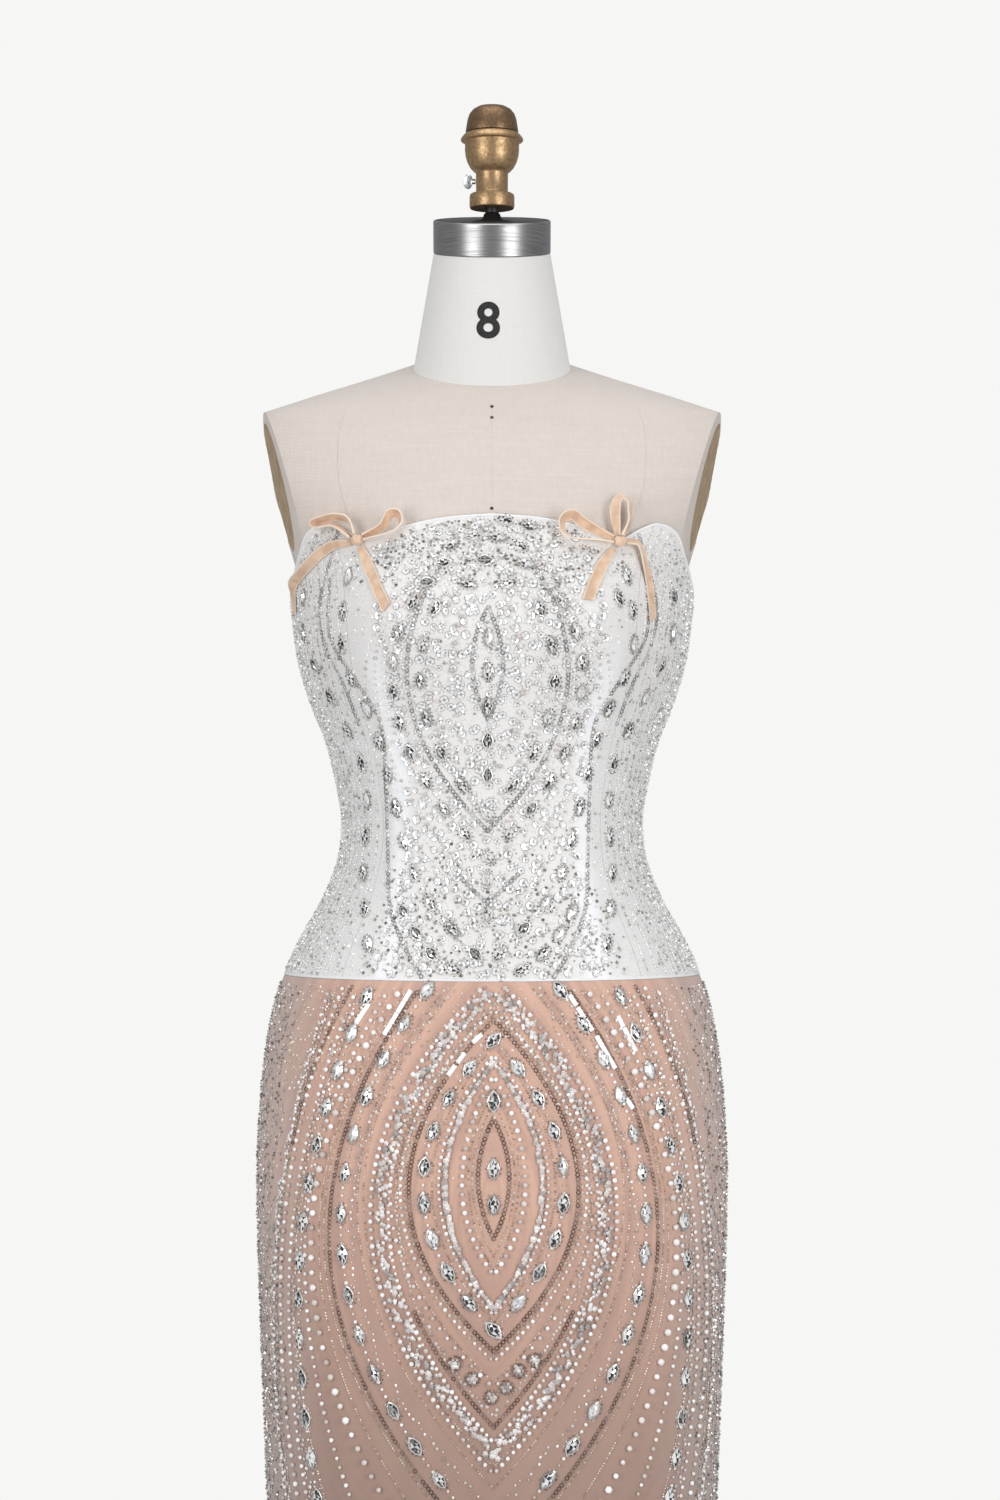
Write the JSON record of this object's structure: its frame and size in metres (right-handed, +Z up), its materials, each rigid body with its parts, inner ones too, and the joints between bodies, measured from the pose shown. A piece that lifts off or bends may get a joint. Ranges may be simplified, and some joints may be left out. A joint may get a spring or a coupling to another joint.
{
  "type": "strapless beaded evening dress on a dress form with stand",
  "caption": "Strapless floor-length beaded evening dress with velvet bows at the neckline, worn by a limbless dress form on a round stand.",
  "frame": {"origin": "centre of the underside of the round base, on the floor", "axes": "+Z up, the front of the dress faces -Y, +X is to the right as seen from the front"},
  "size_m": [0.5577, 0.4956, 1.69],
  "materials": {
    "ivory_beaded_mesh": "ivory cloth dense with silver beads and clear stones",
    "blush_beaded_mesh": "sheer mesh over blush cloth, with rows of silver and white beads",
    "peach_velvet": "velvet ribbon with a satin edge",
    "zip_metal": "nickel plated",
    "linen_cover": "natural linen stretched over a padded form",
    "neck_linen": "off-white linen",
    "gilt_plate": "brown gold",
    "brushed_steel": "brushed round the band",
    "black_paint": "satin black",
    "aged_brass": "aged and rubbed",
    "zinc": "bright zinc plate",
    "stand_paint": "black hammered paint"
  },
  "bodies": {
    "root": {"bodice_centre_front": "ivory_beaded_mesh", "bodice_side_front_left": "ivory_beaded_mesh", "bodice_side_front_right": "ivory_beaded_mesh", "bodice_back_left": "ivory_beaded_mesh", "bodice_back_right": "ivory_beaded_mesh", "skirt_front": "blush_beaded_mesh", "skirt_back_left": "blush_beaded_mesh", "skirt_back_right": "blush_beaded_mesh", "zip_slider": "zip_metal", "bow_left_knot": "peach_velvet", "bow_left_inner_loop": "peach_velvet", "bow_left_outer_loop": "peach_velvet", "bow_left_inner_tail": "peach_velvet", "bow_left_outer_tail": "peach_velvet", "bow_right_knot": "peach_velvet", "bow_right_inner_loop": "peach_velvet", "bow_right_outer_loop": "peach_velvet", "bow_right_inner_tail": "peach_velvet", "bow_right_outer_tail": "peach_velvet", "form_torso": "linen_cover", "form_neck": "neck_linen", "neck_band": "brushed_steel", "neck_cap": "black_paint", "top_rod": "black_paint", "finial": "aged_brass", "arm_plate_left": "gilt_plate", "arm_plate_right": "gilt_plate", "pole": "stand_paint", "base_collar": "stand_paint", "base_plate": "stand_paint"},
    "zip_tab": {"zip_pull": "zip_metal"},
    "thumb_screw": {"wing_screw": "zinc"}
  },
  "joints": [
    {"name": "zip_pull_hinge", "type": "hinge", "parent": "root", "child": "zip_tab", "pos_m": [0, 0.1206, 1.25], "axis": [1, 0, 0], "range_deg": [0, 150]},
    {"name": "wing_screw_turn", "type": "hinge", "parent": "root", "child": "thumb_screw", "pos_m": [-0.019, -0.013, 1.626], "axis": [1, 0, 0], "continuous": true}
  ]
}
